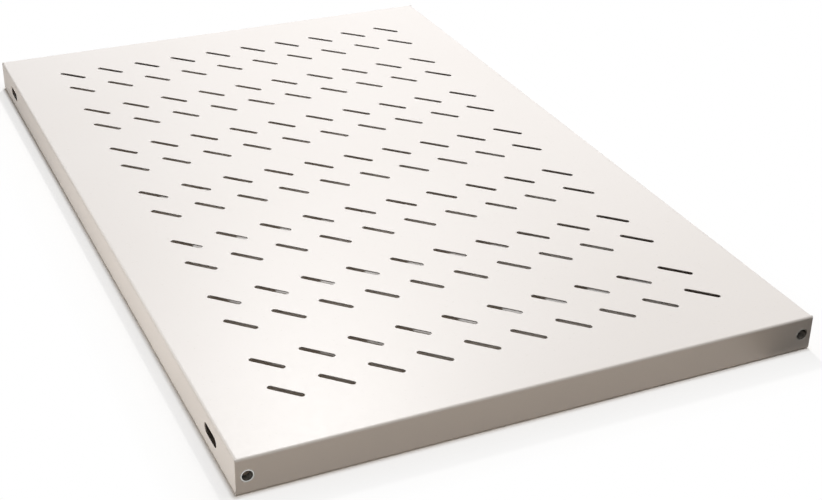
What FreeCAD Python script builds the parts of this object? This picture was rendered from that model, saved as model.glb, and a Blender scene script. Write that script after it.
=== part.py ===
import FreeCAD, Part
import math
import os

from FreeCAD import Vector

# Outside size of the shelf
shelf_width = 482.6
shelf_depth = 770.0
shelf_height = 30.0

# Folded sheet: thickness, inside radius of each fold, return lips and corners
sheet = 1.0
bend_inside = 1.0
lip_depth = 12.0
corner_gap = 0.3
mitre_gap = 0.8
corner_relief = 0.8

# Ventilation slots: slanted, in columns, with their rows in pairs
vent_length = 30.0
vent_width = 4.5
vent_slant = -45.0
vent_end_flats = 5
vent_column_pitch = 40.0
vent_pair_pitch = 100.0
vent_row_gap = 40.0
vent_border = 50.0

# Fixing slots in the side walls, from the ends and from the top
fixing_length = 27.0
fixing_width = 9.0
fixing_inset = 55.0
fixing_drop = 15.0

# Press-in nuts at mid height in the front and rear walls, close beside the side walls
nut_bore_radius = 3.4
nut_shank_wall = 1.8
nut_shank_recess = 0.1
nut_hole_clearance = 0.05
nut_head_overlap = 1.15
nut_head_length = 5.5
nut_side_clearance = 1.4
nut_drop = 15.0

# Levels and edges that follow from the sizes above
bend_outside = bend_inside + sheet
nut_shank_radius = nut_bore_radius + nut_shank_wall
nut_head_radius = nut_shank_radius + nut_head_overlap
half_width = shelf_width / 2
half_depth = shelf_depth / 2
top_under = shelf_height - sheet
side_bend = half_width - bend_outside
end_bend = half_depth - bend_outside
wall_end = half_depth - sheet - corner_gap
fold_end = end_bend - corner_gap
nut_x = half_width - sheet - nut_side_clearance - nut_head_radius
nut_z = shelf_height - nut_drop
middle = Vector(0, 0, 0)
right = Vector(1, 0, 0)
back = Vector(0, 1, 0)
up = Vector(0, 0, 1)

# The slots fill the top, and a border of plain sheet at least this wide stays around them
slant = math.radians(vent_slant)
vent_straight = vent_length - vent_width
vent_span_x = vent_straight * abs(math.cos(slant)) + vent_width
vent_span_y = vent_straight * abs(math.sin(slant)) + vent_width
column_room = shelf_width - 2 * vent_border - vent_span_x
pair_room = shelf_depth - 2 * vent_border - vent_span_y - vent_row_gap
column_count = 1 + math.floor(column_room / vent_column_pitch)
pair_count = 1 + math.floor(pair_room / vent_pair_pitch)
column_x = [(n - (column_count - 1) / 2) * vent_column_pitch for n in range(column_count)]
pair_y = [(n - (pair_count - 1) / 2) * vent_pair_pitch for n in range(pair_count)]


def box(x0, x1, y0, y1, z0, z1):
    return Part.makeBox(x1 - x0, y1 - y0, z1 - z0, Vector(x0, y0, z0))


def prism(corners, direction):
    return Part.Face(Part.makePolygon(corners + corners[:1])).extrude(direction)


def quarter_turned(shape):
    turned = shape.copy()
    turned.rotate(middle, up, 90)
    return turned


def half_turned(shape):
    return quarter_turned(quarter_turned(shape))


# Edges of a block that run along Y
def long_edges(block):
    return [e for e in block.Edges if e.Vertexes[0].Y != e.Vertexes[1].Y]


# A flat sheet along Y with a wall and the start of a lip folded down on both sides
def folded_sheet(half_span, half_length):
    outer = box(-half_span, half_span, -half_length, half_length, 0, shelf_height)
    outer = outer.makeFillet(bend_outside, long_edges(outer))
    inside = half_span - sheet
    inner = box(-inside, inside, -half_length, half_length, sheet, top_under)
    inner = inner.makeFillet(bend_inside, long_edges(inner))
    foot = half_span - bend_outside
    return outer.cut([inner, box(-foot, foot, -half_length, half_length, 0, sheet)])


# A return lip on the +X side of a sheet, with both ends mitred
def return_lip(half_span, half_length):
    root = bend_outside
    tip = lip_depth
    corners = [
        Vector(half_span - root, half_length - root - mitre_gap, 0),
        Vector(half_span - tip, half_length - tip - mitre_gap, 0),
        Vector(half_span - tip, tip + mitre_gap - half_length, 0),
        Vector(half_span - root, root + mitre_gap - half_length, 0),
    ]
    return prism(corners, up * sheet)


# A plug for one ventilation slot, centred on the Z axis, through the top: its ends are flats around a round
def vent_plug():
    reach = vent_straight / 2
    step = math.pi / (vent_end_flats + 1)
    radius = vent_width / 2 / math.cos(step / 2)
    corners = []
    for end in (1, -1):
        for n in range(vent_end_flats + 1):
            turn = (n + 0.5) * step - math.pi / 2
            corners.append(Vector(reach + radius * math.cos(turn), radius * math.sin(turn), 0) * end)
    plug = prism(corners, up * sheet)
    plug.rotate(middle, up, vent_slant)
    return plug.translated(up * top_under)


# A plug for one pair of fixing slots, along X through both side walls
def fixing_plug(y):
    reach = (fixing_length - fixing_width) / 2
    radius = fixing_width / 2
    level = shelf_height - fixing_drop
    plug = box(-half_width, half_width, y - reach, y + reach, level - radius, level + radius)
    ends = [
        Part.makeCylinder(radius, shelf_width, Vector(-half_width, y + end * reach, level), right)
        for end in (-1, 1)
    ]
    return plug.fuse(ends).removeSplitter()


# The front and rear walls run the full width, and the ends of the side walls stop short behind them
def tray():
    ends = quarter_turned(folded_sheet(half_depth, half_width))
    side_cut = box(side_bend, half_width, -end_bend, end_bend, top_under, shelf_height)
    ends = ends.cut([side_cut, half_turned(side_cut)])
    sides = folded_sheet(half_width, fold_end)
    sides = sides.cut(box(-side_bend, side_bend, -fold_end, fold_end, top_under, shelf_height))
    wall_foot = bend_outside + corner_relief
    wall_top = shelf_height - wall_foot
    side_wall = box(half_width - sheet, half_width, -wall_end, wall_end, wall_foot, wall_top)
    side_lip = return_lip(half_width, half_depth)
    end_lip = quarter_turned(return_lip(half_depth, half_width))
    added = [sides]
    for piece in (side_wall, side_lip, end_lip):
        added += [piece, half_turned(piece)]
    body = ends.fuse(added).removeSplitter()

    plugs = []
    plug = vent_plug()
    for y in pair_y:
        for row in (-1, 1):
            for x in column_x:
                plugs.append(plug.translated(Vector(x, y + row * vent_row_gap / 2, 0)))
    for end in (-1, 1):
        plugs.append(fixing_plug(end * (half_depth - fixing_inset)))
    hole_radius = nut_shank_radius + nut_hole_clearance
    for side in (-1, 1):
        foot = Vector(side * nut_x, -half_depth, nut_z)
        plugs.append(Part.makeCylinder(hole_radius, shelf_depth, foot, back))
    return body.cut(plugs)


# A press-in nut in the front wall: shank just short of the outside, head against the inside
def press_nut(x):
    inside = sheet - half_depth
    mouth = nut_shank_recess - half_depth
    nut_end = inside + nut_head_length
    profile = [
        Vector(nut_bore_radius, mouth, 0),
        Vector(nut_shank_radius, mouth, 0),
        Vector(nut_shank_radius, inside, 0),
        Vector(nut_head_radius, inside, 0),
        Vector(nut_head_radius, nut_end, 0),
        Vector(nut_bore_radius, nut_end, 0),
    ]
    face = Part.Face(Part.makePolygon(profile + profile[:1]))
    body = face.revolve(middle, back, 360)
    return body.translated(Vector(x, 0, nut_z))


os.makedirs("parts", exist_ok=True)
nodes = {"tray": tray()}
nodes["press_nut_front_left"] = press_nut(-nut_x)
nodes["press_nut_front_right"] = press_nut(nut_x)
nodes["press_nut_rear_left"] = half_turned(press_nut(nut_x))
nodes["press_nut_rear_right"] = half_turned(press_nut(-nut_x))
for name, shape in nodes.items():
    shape.exportStep("parts/" + name + ".step")
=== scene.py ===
import math

import bmesh
import bpy
from mathutils import Euler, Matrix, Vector


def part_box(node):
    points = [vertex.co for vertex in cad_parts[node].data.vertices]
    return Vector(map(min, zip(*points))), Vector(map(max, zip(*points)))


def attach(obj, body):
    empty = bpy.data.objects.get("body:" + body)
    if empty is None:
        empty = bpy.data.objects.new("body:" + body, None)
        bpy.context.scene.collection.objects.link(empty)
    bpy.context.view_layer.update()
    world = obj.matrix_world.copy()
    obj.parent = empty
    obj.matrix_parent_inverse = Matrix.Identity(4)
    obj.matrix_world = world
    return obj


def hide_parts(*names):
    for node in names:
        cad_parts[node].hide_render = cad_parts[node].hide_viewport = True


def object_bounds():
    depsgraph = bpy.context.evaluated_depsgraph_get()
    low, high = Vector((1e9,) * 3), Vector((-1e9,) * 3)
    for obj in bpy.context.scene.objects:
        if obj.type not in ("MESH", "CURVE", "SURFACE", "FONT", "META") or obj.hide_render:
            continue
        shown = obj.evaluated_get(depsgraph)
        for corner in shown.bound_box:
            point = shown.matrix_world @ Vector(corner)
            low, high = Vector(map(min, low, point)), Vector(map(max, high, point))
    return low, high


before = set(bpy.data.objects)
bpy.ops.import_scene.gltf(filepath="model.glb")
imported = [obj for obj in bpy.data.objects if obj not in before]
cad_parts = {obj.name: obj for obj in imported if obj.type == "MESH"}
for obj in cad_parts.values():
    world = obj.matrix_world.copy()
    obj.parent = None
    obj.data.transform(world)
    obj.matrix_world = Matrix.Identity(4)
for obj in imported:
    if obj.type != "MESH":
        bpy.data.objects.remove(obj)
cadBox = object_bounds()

print("frame loaded:", len(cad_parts), "nodes")

white = (1.0, 1.0, 1.0)
noiseMean = 0.5  # the middle value of a noise pattern


def rgba(colour):
    return (*colour, 1.0)


# one socket of a shader, so that shader sums read as sums
class Wire:
    def __init__(self, tree, socket=None):
        self.tree = tree
        self.socket = socket

    # any node: its settings first, then values or wires for its sockets
    def add(self, kind, settings, sockets, out=0):
        node = self.tree.nodes.new(kind)
        for name, value in settings.items():
            setattr(node, name, value)
        for name, value in sockets.items():
            if isinstance(value, Wire):
                self.tree.links.new(value.socket, node.inputs[name])
            else:
                node.inputs[name].default_value = value
        return Wire(self.tree, node.outputs[out] if node.outputs else None)

    def calc(self, operation, first, second=0.0):
        return self.add("ShaderNodeMath", {"operation": operation}, {0: first, 1: second})

    def __add__(self, other):
        return self.calc("ADD", self, other)

    def __radd__(self, other):
        return self.calc("ADD", other, self)

    def __sub__(self, other):
        return self.calc("SUBTRACT", self, other)

    def __rsub__(self, other):
        return self.calc("SUBTRACT", other, self)

    def __mul__(self, other):
        return self.calc("MULTIPLY", self, other)

    def __rmul__(self, other):
        return self.calc("MULTIPLY", other, self)

    # 0 at the first value and 1 at the second, held there beyond them
    def between(self, first, second):
        ends = {"Value": self, "From Min": first, "From Max": second, "To Min": 0.0, "To Max": 1.0}
        return self.add("ShaderNodeMapRange", {"clamp": True}, ends)

    # two colours by this value, through the Mix node's colour sockets
    def tint(self, first, second):
        return self.add("ShaderNodeMix", {"data_type": "RGBA"}, {0: self, 6: first, 7: second}, 2)

    # two shaders by this value
    def blend(self, first, second):
        return self.add("ShaderNodeMixShader", {}, {0: self, 1: first, 2: second})

    def noise(self, place, size, detail):
        return self.add("ShaderNodeTexNoise", {}, {"Vector": place, "Scale": 1 / size, "Detail": detail})

    # a bump whose height is in metres
    def bump(self, height, **normal):
        return self.add("ShaderNodeBump", {}, {"Strength": 1.0, "Distance": 1.0, "Height": height, **normal})


# an empty material and the wire that its nodes start from
def newMaterial(name):
    material = bpy.data.materials.new(name)
    material.use_nodes = True
    material.node_tree.nodes.clear()
    return material, Wire(material.node_tree)


# powder coat: colours are linear, lengths in metres, and a pattern has a size and a detail
sheetCoat = {
    "paint": (0.805, 0.772, 0.752), "shade": (0.790, 0.755, 0.732),
    "cloud": (0.16, 2.0), "cloudRange": (0.3, 0.7),
    "speck": (0.0022, 1.0), "speckRange": (0.70, 0.78), "speckColour": (0.67, 0.64, 0.60), "speckShare": 0.35,
    "edge": 0.0004, "edgeSamples": 6, "edgeRange": (0.995, 0.80),
    "thinEdgeAndHighlight": (0.850, 0.820, 0.795), "edgeShare": 0.5, "edgePolish": 0.05,
    "grain": (0.0009, 3.0), "grainHeight": 0.000030,
    "peel": (0.0045, 1.0), "peelHeight": 0.000022,
    "rough": 0.42, "roughVary": 0.05, "gloss": 0.5, "ior": 1.5,
}


# baked film with a fine grain, a slow orange peel, and paler edges that are partly thinner paint and partly a
# painted highlight
def coatMaterial(name, look):
    material, start = newMaterial(name)
    place = start.add("ShaderNodeTexCoord", {}, {}, "Object")
    grain = start.noise(place, *look["grain"])
    peel = start.noise(place, *look["peel"])
    cloud = start.noise(place, *look["cloud"]).between(*look["cloudRange"])
    speck = start.noise(place, *look["speck"]).between(*look["speckRange"])
    # an edge is where the rounded normal turns away from the plain one
    soft = start.add("ShaderNodeBevel", {"samples": look["edgeSamples"]}, {"Radius": look["edge"]})
    plain = start.add("ShaderNodeNewGeometry", {}, {}, "Normal")
    facing = start.add("ShaderNodeVectorMath", {"operation": "DOT_PRODUCT"}, {0: soft, 1: plain}, "Value")
    rim = facing.between(*look["edgeRange"])
    colour = cloud.tint(rgba(look["shade"]), rgba(look["paint"]))
    colour = (speck * look["speckShare"]).tint(colour, rgba(look["speckColour"]))
    # paler edges: thinner paint, and partly a painted highlight along every edge
    colour = (rim * look["edgeShare"]).tint(colour, rgba(look["thinEdgeAndHighlight"]))
    rough = look["rough"] + look["roughVary"] * (peel + grain - 2 * noiseMean) - look["edgePolish"] * rim
    bump = start.bump(grain * look["grainHeight"] + peel * look["peelHeight"], Normal=soft)
    shader = start.add("ShaderNodeBsdfPrincipled", {}, {
        "Base Color": colour, "Roughness": rough, "Normal": bump,
        "IOR": look["ior"], "Specular IOR Level": look["gloss"],
    })
    start.add("ShaderNodeOutputMaterial", {}, {"Surface": shader})
    return material


# zinc plating, bright on the nuts' outside; down in their threads a near-black zinc is painted shade
nutZinc = {
    "zinc": (0.64, 0.63, 0.60), "tint": (0.56, 0.56, 0.54),
    "bloom": (0.003, 3.0), "bloomRange": (0.35, 0.65),
    "fine": (0.00025, 2.0), "fineHeight": 0.000010,
    "rough": 0.32, "roughVary": 0.16,
}
# near-black zinc in the threads: painted shade down the bore
threadPaintedShade = dict(nutZinc, zinc=(0.070, 0.065, 0.057), tint=(0.036, 0.033, 0.029), rough=0.45)


# metal with a cloudy bloom in its tint and shine, and a fine crystal grain
def zincMaterial(name, look):
    material, start = newMaterial(name)
    place = start.add("ShaderNodeTexCoord", {}, {}, "Object")
    bloom = start.noise(place, *look["bloom"])
    fine = start.noise(place, *look["fine"])
    colour = bloom.between(*look["bloomRange"]).tint(rgba(look["zinc"]), rgba(look["tint"]))
    rough = look["rough"] + look["roughVary"] * (bloom - noiseMean)
    bump = start.bump(fine * look["fineHeight"])
    shader = start.add("ShaderNodeBsdfPrincipled", {}, {
        "Base Color": colour, "Metallic": 1.0, "Roughness": rough, "Normal": bump,
    })
    start.add("ShaderNodeOutputMaterial", {}, {"Surface": shader})
    return material


sheetMaterial = coatMaterial("sheetCoat", sheetCoat)
nutMaterial = zincMaterial("nutZinc", nutZinc)
threadShadeMaterial = zincMaterial("threadPaintedShade", threadPaintedShade)
nutNames = [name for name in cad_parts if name.startswith("press_nut")]


def dress(piece, material):
    piece.data.materials.clear()
    piece.data.materials.append(material)


# the plain solids wear the same finishes
for name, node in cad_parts.items():
    dress(node, nutMaterial if name in nutNames else sheetMaterial)
print("solids coated")


def pieceFrom(mesh, name):
    data = bpy.data.meshes.new(name)
    mesh.to_mesh(data)
    mesh.free()
    piece = bpy.data.objects.new(name, data)
    bpy.context.collection.objects.link(piece)
    return piece


# press-in nuts with a real thread, each in the place of its plain solid
nutShape = {
    "bore": 0.0034, "root": 0.0040, "pitch": 0.00125, "mouth": 0.00415,
    "shank": 0.0052, "head": 0.00635, "wall": 0.0009, "bevel": 0.00025,
    "flankSlope": 1.35, "crestFlat": 0.12,
    "steps": 48, "perTurn": 8, "creaseAngle": 28.0,
}


# radius of the threaded bore, which is chamfered at both ends
def threadRadius(depth, turn, length):
    phase = (depth / nutShape["pitch"] - turn / (2 * math.pi)) % 1.0
    flank = (1.0 - 2.0 * abs(phase - 0.5)) * nutShape["flankSlope"] - nutShape["crestFlat"]
    groove = max(0.0, min(1.0, flank))
    thread = nutShape["bore"] + (nutShape["root"] - nutShape["bore"]) * groove
    chamfer = nutShape["mouth"] - min(depth, length - depth)
    return max(thread, chamfer)


def makeNut(name):
    low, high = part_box(name)
    axisX, axisZ = (low.x + high.x) / 2, (low.z + high.z) / 2
    length = high.y - low.y
    bevel, mouth, shank = nutShape["bevel"], nutShape["mouth"], nutShape["shank"]
    head, wall = nutShape["head"], nutShape["wall"]
    steps = nutShape["steps"]
    turns = [2 * math.pi * n / steps for n in range(steps)]
    # radius and depth round the outside, from the mouth to the inner end
    outline = [
        (mouth, 0.0), (shank - bevel, 0.0), (shank, bevel), (shank, wall), (head - bevel, wall),
        (head, wall + bevel), (head, length - bevel), (head - bevel, length), (mouth, length),
    ]
    mesh = bmesh.new()

    def ring(depth, radii):
        y = low.y + depth if low.y < 0 else high.y - depth
        return [mesh.verts.new((axisX + radius * math.cos(turn), y, axisZ + radius * math.sin(turn)))
                for radius, turn in zip(radii, turns)]

    rings = [ring(depth, [radius] * steps) for radius, depth in outline]
    rows = round(length / nutShape["pitch"] * nutShape["perTurn"])
    for n in range(rows - 1, 0, -1):  # back through the bore
        depth = length * n / rows
        rings.append(ring(depth, [threadRadius(depth, turn, length) for turn in turns]))
    for row, (first, second) in enumerate(zip(rings, rings[1:] + rings[:1])):
        for n in range(steps):
            m = (n + 1) % steps
            face = mesh.faces.new((first[n], first[m], second[m], second[n]))
            # the bore's faces take the painted shade
            face.material_index = int(row >= len(outline) - 1)
    bmesh.ops.recalc_face_normals(mesh, faces=mesh.faces)
    for face in mesh.faces:
        face.smooth = True
    for edge in mesh.edges:
        edge.smooth = edge.calc_face_angle() < math.radians(nutShape["creaseAngle"])
    piece = pieceFrom(mesh, name + "_threaded")
    for material in (nutMaterial, threadShadeMaterial):
        piece.data.materials.append(material)
    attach(piece, "root")
    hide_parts(name)


for name in nutNames:
    makeNut(name)
print("nuts threaded")


# the folded sheet in the place of its plain solid, with round slot ends and soft cut edges
trayShape = {
    "sheet": 0.001, "bendInside": 0.001, "lip": 0.012,
    "cornerGap": 0.0003, "mitreGap": 0.0008, "relief": 0.0008,
    "ventLength": 0.030, "ventWidth": 0.0045, "ventSlant": -45.0, "ventSteps": 8,
    "columns": 10, "columnPitch": 0.040,
    "pairs": 7, "pairPitch": 0.100, "rowGap": 0.040, "rowBorder": 0.047,
    "fixingLength": 0.027, "fixingWidth": 0.009, "fixingInset": 0.055, "fixingLevel": 0.015,
    "fixingSteps": 14,
    "nutClearance": 0.00005, "nutBorder": 0.0065, "nutSteps": 40, "foldSteps": 8,
    "edgeAngle": 60.0, "edgeRadius": 0.00014, "edgeSteps": 2, "edgeProfile": 0.5,
    "spotSize": 1e-7, "evenWeight": 100,
}

# sizes that follow from the solids' boxes
trayLow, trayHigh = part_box("tray")
halfWidth, halfDepth, trayHeight = trayHigh
thick, bendInside = trayShape["sheet"], trayShape["bendInside"]
bendOutside = bendInside + thick
sideBend, endBend = halfWidth - bendOutside, halfDepth - bendOutside
foldEnd, wallEnd = endBend - trayShape["cornerGap"], halfDepth - thick - trayShape["cornerGap"]
wallFoot, wallTop = bendOutside, trayHeight - bendOutside
nutLow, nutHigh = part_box("press_nut_front_right")
nutX, nutZ = (nutLow.x + nutHigh.x) / 2, (nutLow.z + nutHigh.z) / 2


# every spot of the sheet is a pair of points, one on its outside and one on its inside
class Sheet:
    # a cell's corners, anticlockwise from the lower left, by whether they lie right and up
    cornerAt = {(False, False): 0, (True, False): 1, (True, True): 2, (False, True): 3}

    def __init__(self):
        self.mesh = bmesh.new()
        self.spots = {}

    # points that two panels share are made once
    def spot(self, outside, inside):
        key = tuple(round(value / trayShape["spotSize"]) for value in outside)
        if key not in self.spots:
            self.spots[key] = (self.mesh.verts.new(outside), self.mesh.verts.new(inside))
        return self.spots[key]

    def plate(self, spots):
        self.mesh.faces.new([outside for outside, inside in spots])
        self.mesh.faces.new([inside for outside, inside in reversed(spots)])

    # a grid of cells between lines, each with the hole cut in whose first point it holds
    def panel(self, place, lines, levels, holes):
        for left, right in zip(lines, lines[1:]):
            for foot, top in zip(levels, levels[1:]):
                corners = ((left, foot), (right, foot), (right, top), (left, top))
                cell = [self.spot(*place(*corner)) for corner in corners]
                inside = [hole for hole in holes if left < hole[0][0] < right and foot < hole[0][1] < top]
                if inside:
                    self.cut(place, cell, inside[0])
                else:
                    self.plate(cell)

    # each stretch of the outline is joined to the corner of the cell that it faces
    def cut(self, place, cell, outline):
        points = [self.spot(*place(*point)) for point in outline]
        facing = [self.cornerAt[y2 > y1, x1 > x2]
                  for (x1, y1), (x2, y2) in zip(outline, outline[1:] + outline[:1])]
        for n, corner in enumerate(facing):
            m = (n + 1) % len(points)
            self.plate([cell[corner], points[m], points[n]])
            while corner != facing[m]:
                following = (corner + 1) % len(cell)
                self.plate([cell[corner], cell[following], points[m]])
                corner = following

    # closes the cut edges and rounds them
    def close(self):
        partner = {outside: inside for outside, inside in self.spots.values()}
        rims = [edge for edge in self.mesh.edges if edge.is_boundary and edge.verts[0] in partner]
        for a, b in [edge.verts[:] for edge in rims]:
            self.mesh.faces.new((a, b, partner[b], partner[a]))
        bmesh.ops.recalc_face_normals(self.mesh, faces=self.mesh.faces)
        edgeAngle = math.radians(trayShape["edgeAngle"])
        sharp = [edge for edge in self.mesh.edges if edge.calc_face_angle() > edgeAngle]
        bmesh.ops.bevel(
            self.mesh, geom=sharp, offset=trayShape["edgeRadius"], offset_type="OFFSET",
            segments=trayShape["edgeSteps"], profile=trayShape["edgeProfile"],
            affect="EDGES", clamp_overlap=False)


# a long hole's outline, anticlockwise, each end a half round
def longHole(centre, length, width, slant, steps):
    reach, radius = (length - width) / 2, width / 2
    along, across = math.cos(math.radians(slant)), math.sin(math.radians(slant))
    points = []
    for end in (0, 1):
        for n in range(steps + 1):
            turn = math.pi * (n / steps - 0.5 + end)
            u = reach * (1 - 2 * end) + radius * math.cos(turn)
            v = radius * math.sin(turn)
            points.append((centre[0] + u * along - v * across, centre[1] + u * across + v * along))
    return points


def roundHole(centre, radius, steps):
    turns = [2 * math.pi * (n + 0.5) / steps for n in range(steps)]
    return [(centre[0] + radius * math.cos(turn), centre[1] + radius * math.sin(turn)) for turn in turns]


def ventHoles():
    shape = trayShape
    holes = []
    for pair in range(shape["pairs"]):
        for row in (-0.5, 0.5):
            y = (pair - (shape["pairs"] - 1) / 2) * shape["pairPitch"] + row * shape["rowGap"]
            for column in range(shape["columns"]):
                x = (column + 0.5 - shape["columns"] / 2) * shape["columnPitch"]
                holes.append(longHole(
                    (x, y), shape["ventLength"], shape["ventWidth"], shape["ventSlant"], shape["ventSteps"]))
    return holes


def fixingHoles():
    shape = trayShape
    length, width = shape["fixingLength"], shape["fixingWidth"]
    centres = [(end * (halfDepth - shape["fixingInset"]), shape["fixingLevel"]) for end in (-1, 1)]
    return [longHole(centre, length, width, 0.0, shape["fixingSteps"]) for centre in centres]


def nutHoles():
    radius = nutShape["shank"] + trayShape["nutClearance"]
    return [roundHole((side * nutX, nutZ), radius, trayShape["nutSteps"]) for side in (-1, 1)]


# profiles of a wall, outside and inside: distance from the shelf's middle and level
def foldSpots(reach, turn, centreZ, way):
    sine, cosine = math.sin(turn), math.cos(turn)
    return [(reach - bendOutside + radius * sine, centreZ + way * radius * cosine)
            for radius in (bendOutside, bendInside)]


def topFold(reach, share):
    return foldSpots(reach, share * math.pi / 2, wallTop, 1)


def footFold(reach, share):
    return foldSpots(reach, (1 - share) * math.pi / 2, wallFoot, -1)


def flatWall(reach, level):
    return [(reach, level), (reach - thick, level)]


def returnLip(reach, inset):
    return [(reach - inset, 0.0), (reach - inset, thick)]


def flatTop(x, y):
    return (x, y, trayHeight), (x, y, trayHeight - thick)


# the front and rear walls run along X, and the side walls along Y; a lip's tip is shorter by its mitres
def wallPlace(profile, isEnd, sign):
    reach, half = (halfDepth, halfWidth) if isEnd else (halfWidth, halfDepth)
    tip = half - trayShape["lip"] - trayShape["mitreGap"]

    def place(along, level):
        if profile is returnLip and level > bendOutside:
            along = max(-tip, min(tip, along))
        spots = profile(reach, level)
        return [(along, sign * out, z) if isEnd else (sign * out, along, z) for out, z in spots]

    return place


def makeTray(name):
    shape = trayShape
    # lines between the cells, which the top shares with the walls
    mitreX, mitreY = sideBend - shape["mitreGap"], endBend - shape["mitreGap"]
    columnLines = [(n - shape["columns"] / 2) * shape["columnPitch"] for n in range(shape["columns"] + 1)]
    nutLine = nutX - shape["nutBorder"]
    lipLinesX = [-mitreX, -nutLine] + columnLines + [nutLine, mitreX]
    linesX = [-sideBend] + lipLinesX + [sideBend]
    endLines = [-halfWidth] + linesX + [halfWidth]
    rows = 2 * (shape["pairs"] - 1)
    rowLines = [(n - rows / 2) * shape["pairPitch"] / 2 for n in range(rows + 1)]
    rowEnd = rowLines[-1] + shape["rowBorder"]
    lipLinesY = [-mitreY, -rowEnd] + rowLines + [rowEnd, mitreY]
    linesY = [-foldEnd] + lipLinesY + [foldEnd]

    shares = [n / shape["foldSteps"] for n in range(shape["foldSteps"] + 1)]
    lipInsets = [bendOutside, shape["lip"]]
    earLevels = [wallFoot + shape["relief"], wallTop - shape["relief"]]
    endPanels = [
        (topFold, endLines, shares, []),
        (flatWall, endLines, [wallFoot, wallTop], nutHoles()),
        (footFold, endLines, shares, []),
        (returnLip, lipLinesX, lipInsets, []),
    ]
    sidePanels = [
        (topFold, linesY, shares, []),
        (flatWall, linesY, [wallFoot] + earLevels + [wallTop], fixingHoles()),
        (flatWall, [-wallEnd, -foldEnd], earLevels, []),
        (flatWall, [foldEnd, wallEnd], earLevels, []),
        (footFold, linesY, shares, []),
        (returnLip, lipLinesY, lipInsets, []),
    ]
    sheet = Sheet()
    sheet.panel(flatTop, linesX, [-endBend] + linesY + [endBend], ventHoles())
    for sign in (-1, 1):
        for isEnd, panels in ((True, endPanels), (False, sidePanels)):
            for profile, lines, levels, holes in panels:
                sheet.panel(wallPlace(profile, isEnd, sign), lines, levels, holes)
    sheet.close()
    # the rounded edges stay inside the solid's box
    for point in sheet.mesh.verts:
        point.co = [min(max(value, least), most) for value, least, most in zip(point.co, trayLow, trayHigh)]
    for face in sheet.mesh.faces:
        face.smooth = True
    piece = pieceFrom(sheet.mesh, name + "_coated")
    even = piece.modifiers.new("evenShading", "WEIGHTED_NORMAL")
    even.mode = "FACE_AREA"
    even.weight = shape["evenWeight"]
    dress(piece, sheetMaterial)
    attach(piece, "root")
    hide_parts(name)
    print("sheet folded:", len(piece.data.polygons), "faces")


makeTray("tray")

# pale floor: white to the camera, duller to the light that it throws back
floorLook = {
    "half": 8.0, "level": -0.0002,
    "seen": (0.97, 0.96, 0.95), "near": 0.004, "far": 0.05, "least": 0.72,  # shadow fades from near to far
    "glimmer": (1.0, 0.80, 0.61), "glimmerShare": 0.05,  # faint warm light under the shelf, less to the right
    "bounce": (0.50, 0.41, 0.32), "under": (0.62, 0.54, 0.46), "underEdge": 0.01,
    "shade": (0.022, 0.017, 0.012), "shadeSide": (0.194, 0.212), "shadeSoft": 0.006,
}


# the rays to which floor and room show the white background
def backgroundRays(start):
    return [start.add("ShaderNodeLightPath", {}, {}, "Is " + kind + " Ray")
            for kind in ("Camera", "Transmission", "Glossy")]


def floorMaterial(name, look):
    material, start = newMaterial(name)
    place = start.add("ShaderNodeTexCoord", {}, {}, "Object")
    x, y = [start.add("ShaderNodeSeparateXYZ", {}, {"Vector": place}, axis) for axis in ("X", "Y")]
    right, back, front = cadBox[1].x, cadBox[1].y, cadBox[0].y
    # distance from the shelf's outline, nothing under the shelf
    across = start.calc("MAXIMUM", start.calc("ABSOLUTE", x) - right)
    along = start.calc("MAXIMUM", start.calc("ABSOLUTE", y) - back)
    apart = start.calc("SQRT", across * across + along * along)

    def matt(colour):
        return start.add("ShaderNodeBsdfDiffuse", {}, {"Color": rgba(colour)})

    def glow(colour):
        return start.add("ShaderNodeEmission", {}, {"Color": rgba(colour), "Strength": 1.0})

    # away from the shelf the floor is plain white, and near it the shelf's own shadow shows
    fade = look["least"] + (1 - look["least"]) * apart.between(look["near"], look["far"])
    glimmer = look["glimmerShare"] * x.between(right, 0.0)
    shown = glimmer.blend(matt(look["seen"]), glow(look["glimmer"]))
    shown = (fade * apart.between(0.0, look["near"])).blend(shown, glow(white))
    # before the shelf's right end the floor throws less light back
    shade = x.between(*look["shadeSide"]) * y.between(front, front - look["shadeSoft"])
    dull = apart.between(0.0, look["underEdge"]).blend(matt(look["under"]), matt(look["bounce"]))
    dull = shade.blend(dull, matt(look["shade"]))
    camera, transmission, glossy = backgroundRays(start)
    seen = camera + transmission + glossy * (1 - shade)
    start.add("ShaderNodeOutputMaterial", {}, {"Surface": seen.blend(dull, shown)})
    return material


def makeFloor():
    half, level = floorLook["half"], floorLook["level"]
    corners = [(-half, -half, level), (half, -half, level), (half, half, level), (-half, half, level)]
    data = bpy.data.meshes.new("floor")
    data.from_pydata(corners, [], [(0, 1, 2, 3)])
    data.materials.append(floorMaterial("paleFloor", floorLook))
    piece = bpy.data.objects.new("floor", data)
    bpy.context.collection.objects.link(piece)


makeFloor()
print("floor laid")

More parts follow.
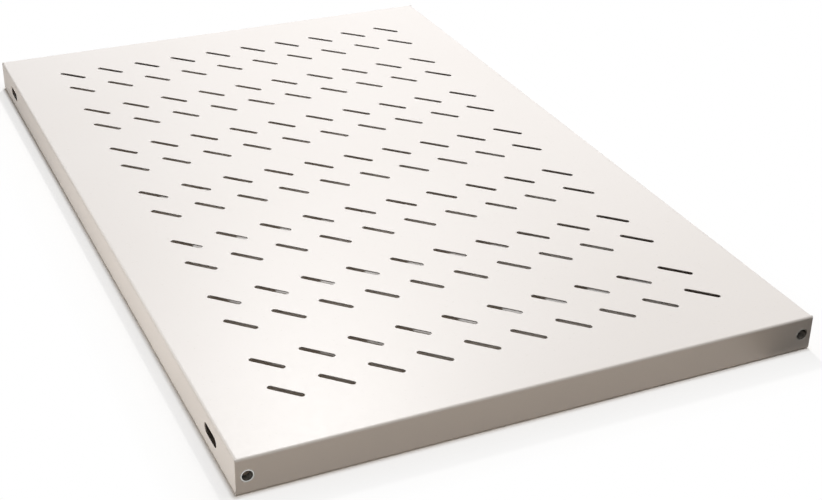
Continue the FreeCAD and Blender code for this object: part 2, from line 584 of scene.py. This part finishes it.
# soft lamps: place, aim, width and height in metres, power in watts
lamps = {
    "rearBox": {
        "place": (0.41, 1.19, 1.63), "aim": (0.0, 0.0, 0.0), "size": (0.08, 0.17),
        "power": 29.8, "colour": white,
    },
    "frontBox": {
        "place": (0.46, -0.50, 1.50), "aim": (0.0, -0.1, 0.0), "size": (1.0, 1.0),
        "power": 13.0, "colour": (1.0, 0.975, 0.94),
    },
    "frontCard": {
        "place": (-0.75, -1.35, 0.05), "aim": (-0.05, -0.38, 0.02), "size": (0.5, 0.09),
        "power": 1.6, "colour": (1.0, 0.93, 0.84),
    },
    "leftCard": {
        "place": (-1.00, -0.20, 0.05), "aim": (0.0, -0.20, 0.02), "size": (0.5, 0.09),
        "power": 3.3, "colour": (1.0, 0.97, 0.92),
    },
}


def hangLamp(name, lamp):
    data = bpy.data.lights.new(name, "AREA")
    data.shape = "RECTANGLE"
    data.size, data.size_y = lamp["size"]
    data.energy = lamp["power"]
    data.color = lamp["colour"]
    piece = bpy.data.objects.new(name, data)
    piece.location = lamp["place"]
    towards = Vector(lamp["aim"]) - Vector(lamp["place"])
    piece.rotation_euler = towards.to_track_quat("-Z", "Y").to_euler()
    bpy.context.collection.objects.link(piece)


for name, lamp in lamps.items():
    hangLamp(name, lamp)
print("lamps hung:", len(lamps))

# room light, dim and warm to the shelf, white where it is looked at
roomLook = {"colour": (1.0, 0.95, 0.88), "strength": 0.02}


def makeRoom():
    world = bpy.data.worlds.new("room")
    bpy.context.scene.world = world
    world.use_nodes = True
    world.node_tree.nodes.clear()
    start = Wire(world.node_tree)
    camera, transmission, glossy = backgroundRays(start)
    dim = start.add(
        "ShaderNodeBackground", {}, {"Color": rgba(roomLook["colour"]), "Strength": roomLook["strength"]})
    bright = start.add("ShaderNodeBackground", {}, {"Color": rgba(white), "Strength": 1.0})
    sky = (camera + transmission + glossy).blend(dim, bright)
    start.add("ShaderNodeOutputWorld", {}, {"Surface": sky})


makeRoom()
print("room lit")

# camera where the photograph was taken from: place in metres, turn in degrees, lens and sensor in millimetres
cameraSpot = {
    "place": (-0.49124, -1.19261, 0.6604), "turn": (60.9888, -1.0235, -24.5541),
    "lens": 67.172, "sensor": 36.0,
}


def makeCamera():
    data = bpy.data.cameras.new("camera")
    data.lens = cameraSpot["lens"]
    data.sensor_width = cameraSpot["sensor"]
    camera = bpy.data.objects.new("camera", data)
    camera.location = cameraSpot["place"]
    camera.rotation_euler = Euler([math.radians(angle) for angle in cameraSpot["turn"]], "XYZ")
    bpy.context.collection.objects.link(camera)
    bpy.context.scene.camera = camera


makeCamera()
bpy.context.scene.view_settings.view_transform = "Standard"
print("camera set")
